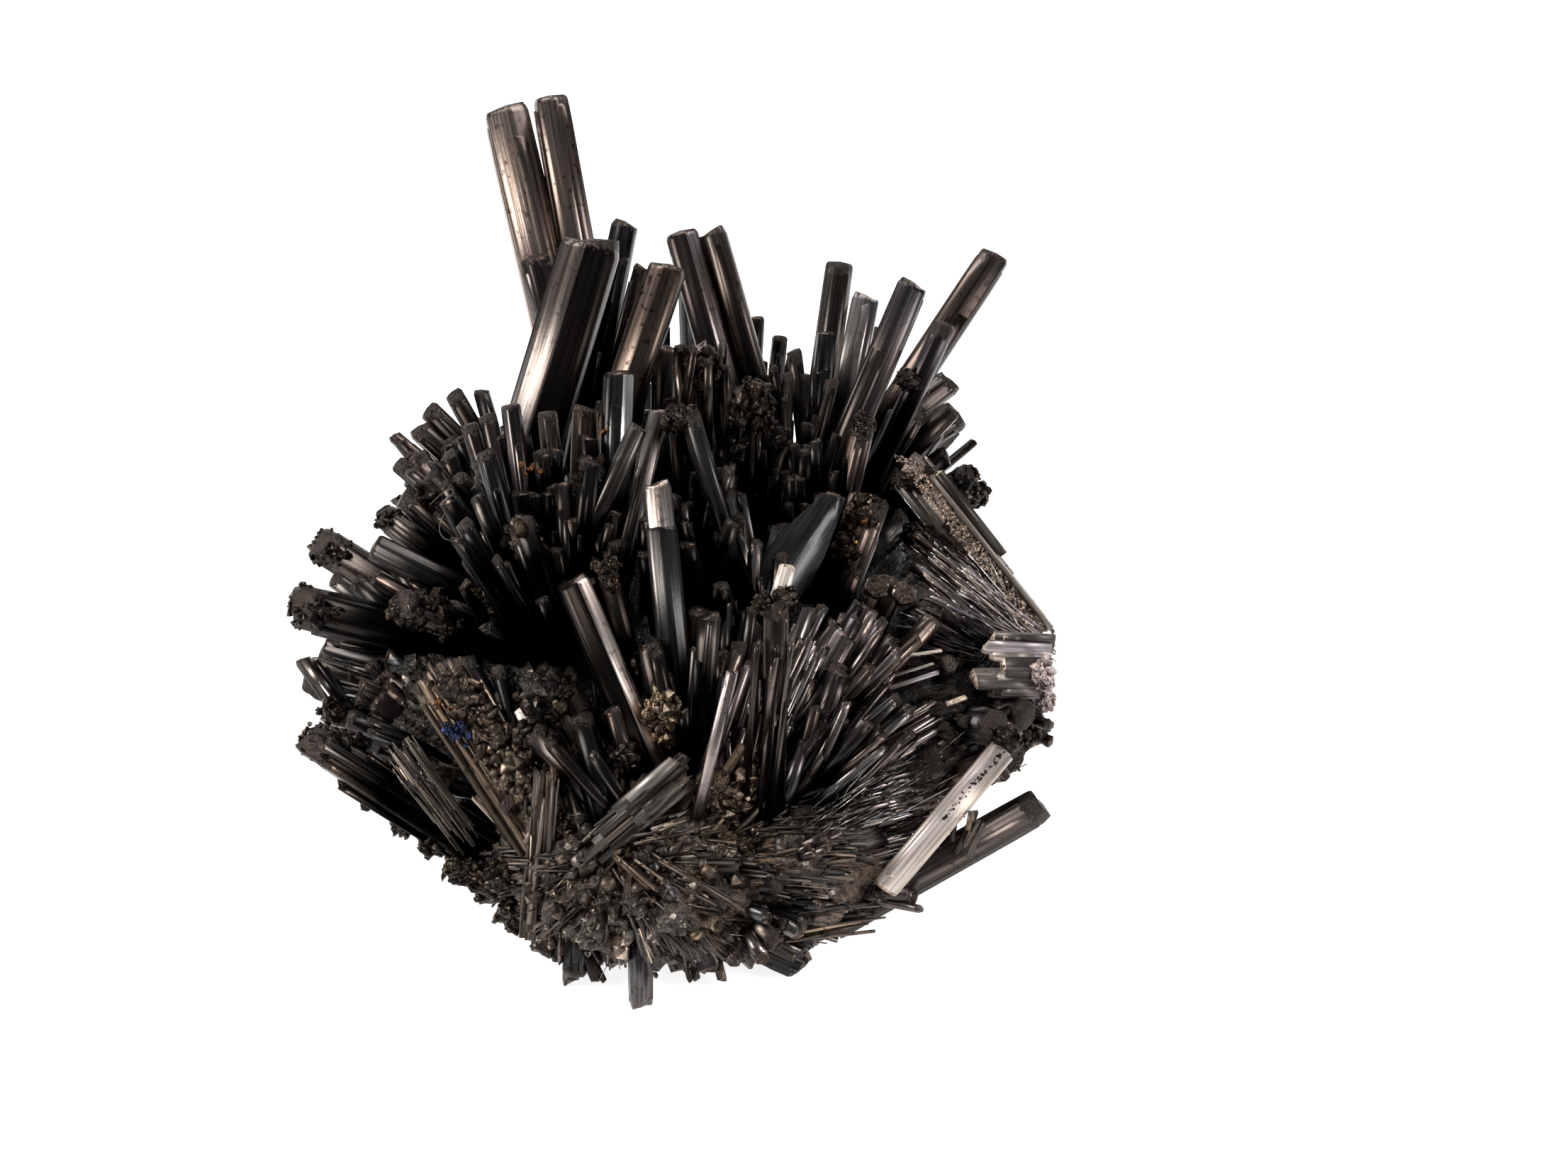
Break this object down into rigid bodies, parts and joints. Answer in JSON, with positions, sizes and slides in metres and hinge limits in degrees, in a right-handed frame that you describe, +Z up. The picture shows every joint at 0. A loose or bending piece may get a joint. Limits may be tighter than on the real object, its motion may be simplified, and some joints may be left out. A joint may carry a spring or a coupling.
{
  "type": "stibnite crystal spray",
  "caption": "Free-standing spray of dark metallic, striated stibnite crystals fanning up, back and to both sides out of one broken, rough root mass.",
  "frame": {"origin": "middle of the bounding box's underside, on the surface that the spray rests on", "axes": "+Z up, +Y to the back, away from the broken root and the front foot, +X to the right as seen from the front"},
  "size_m": [0.0388, 0.0464, 0.0258],
  "materials": {
    "rough_root": "rough, sparkling broken stibnite with brown tarnish",
    "steel_grey": "metallic steel grey, striated along the crystal",
    "brown_tarnish": "metallic with matte brown granular tarnish",
    "bright_bronze": "bright, warm metallic cleavage and prism faces"
  },
  "bodies": {
    "root": {"root_mass": "rough_root", "tall_twin_crystal": "bright_bronze", "great_pillar_crystal": "steel_grey", "brown_pillar_crystal": "brown_tarnish", "twin_spear_crystal": "steel_grey", "capped_spear_crystal": "steel_grey", "pale_blade_crystal": "steel_grey", "striated_spear_crystal": "steel_grey", "long_right_spear_crystal": "steel_grey", "upper_right_stub_crystal": "steel_grey", "middle_right_stub_crystal": "steel_grey", "round_right_stub_crystal": "steel_grey", "granular_knob_crystal": "brown_tarnish", "right_slab_crystal": "brown_tarnish", "cleavage_plate_crystal": "steel_grey", "crusty_crystal": "brown_tarnish", "upper_left_cluster": "steel_grey", "black_crystal": "steel_grey", "stained_pair_crystal": "steel_grey", "pale_faced_crystal": "steel_grey", "striped_crystal": "steel_grey", "leaning_capped_crystal": "steel_grey", "bright_middle_crystal": "steel_grey", "bright_front_crystal": "steel_grey", "brown_capped_crystal": "brown_tarnish", "thick_broken_crystal": "brown_tarnish", "near_knob_crystal": "brown_tarnish", "double_knob_crystal": "brown_tarnish", "bright_needle_crystal": "bright_bronze", "slanting_crystal": "steel_grey", "striped_blade_crystal": "steel_grey", "lower_right_crystal": "steel_grey", "bright_diagonal_crystal": "bright_bronze", "fibrous_blade_crystal": "brown_tarnish", "front_foot_crystal": "steel_grey", "long_brown_blade_crystal": "brown_tarnish", "lower_left_crystal": "steel_grey", "left_broad_blade_crystal": "steel_grey", "left_flat_blade_crystal": "steel_grey", "upper_left_stub_crystal": "steel_grey", "left_clean_crystal": "steel_grey", "left_round_crystal": "brown_tarnish", "far_left_crystal": "steel_grey"}
  },
  "joints": []
}
